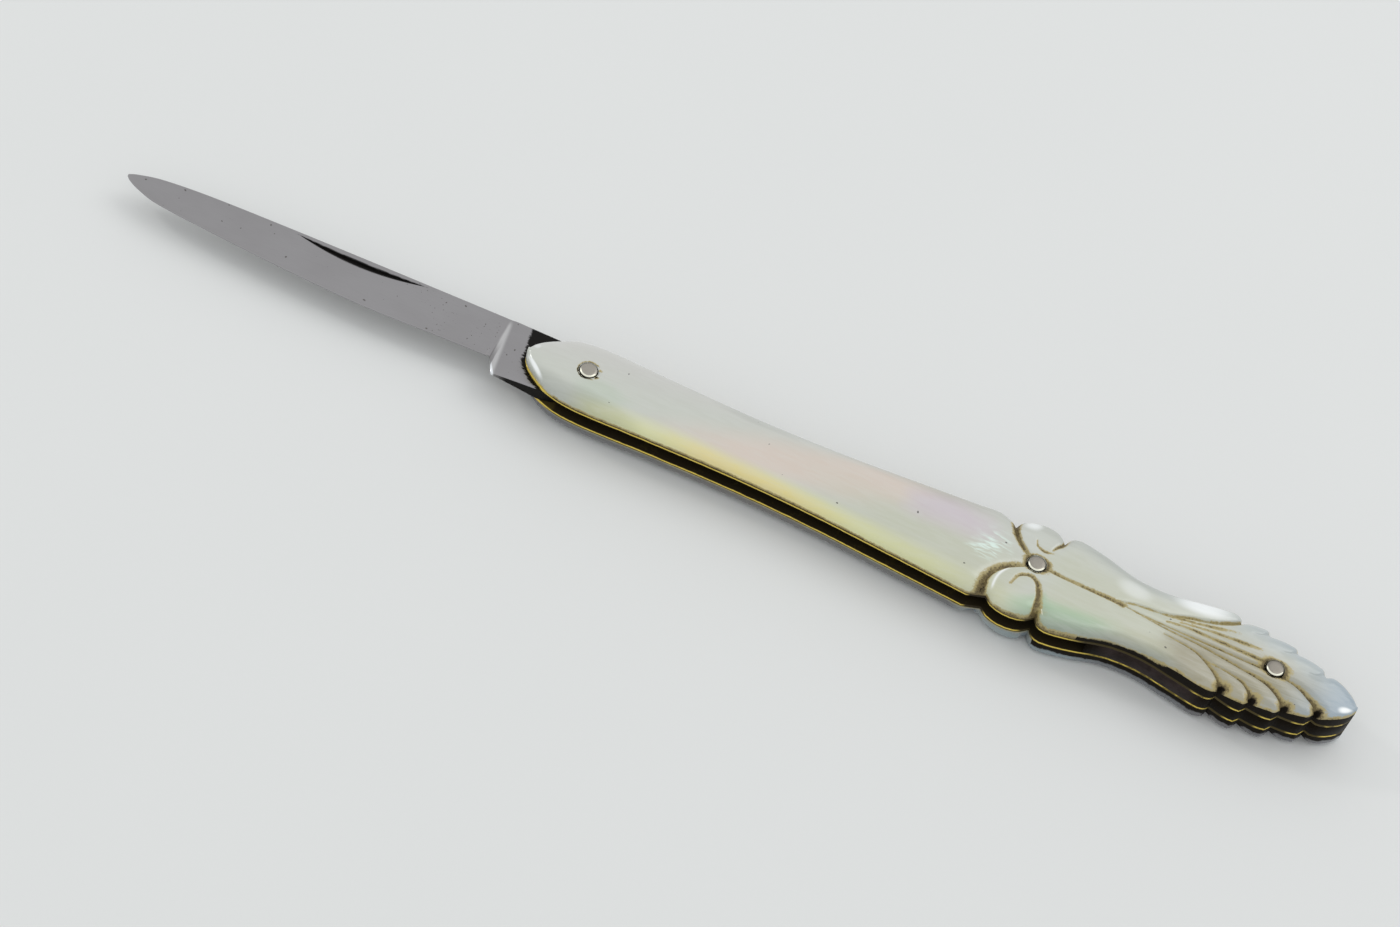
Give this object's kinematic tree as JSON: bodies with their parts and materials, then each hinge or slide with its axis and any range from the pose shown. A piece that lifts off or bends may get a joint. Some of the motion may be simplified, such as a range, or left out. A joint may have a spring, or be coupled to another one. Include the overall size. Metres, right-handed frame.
{
  "type": "quill knife",
  "caption": "Small folding penknife with one blade for cutting quills, shown open: carved pearl scales on brass liners, a steel back spring and a tapering pointed blade with a nail nick.",
  "frame": {"origin": "middle of the open knife's bounding box, on the flat crown of the lower scale", "axes": "+X runs along the knife from the blade's tip to the butt, +Y is the back spring's side, +Z is square to the scales"},
  "size_m": [0.1242, 0.0104, 0.0054],
  "materials": {
    "pearl": "polished mother of pearl with brown stain in the carving",
    "brass": "polished brass edges, tarnished at the waist",
    "spring_steel": "dark patinated steel",
    "blade_steel": "old polished steel with fine scratches and specks",
    "nickel_silver": "worn warm white metal"
  },
  "bodies": {
    "handle": {"top_scale": "pearl", "bottom_scale": "pearl", "top_liner": "brass", "bottom_liner": "brass", "back_spring": "spring_steel", "pivot_pin": "nickel_silver", "center_pin": "nickel_silver", "end_pin": "nickel_silver"},
    "blade": {"blade": "blade_steel"}
  },
  "joints": [
    {"name": "blade_fold", "type": "hinge", "parent": "handle", "child": "blade", "pos_m": [-0.014, 0, 0.00262], "axis": [0, 0, 1], "range_deg": [0, 176]}
  ]
}
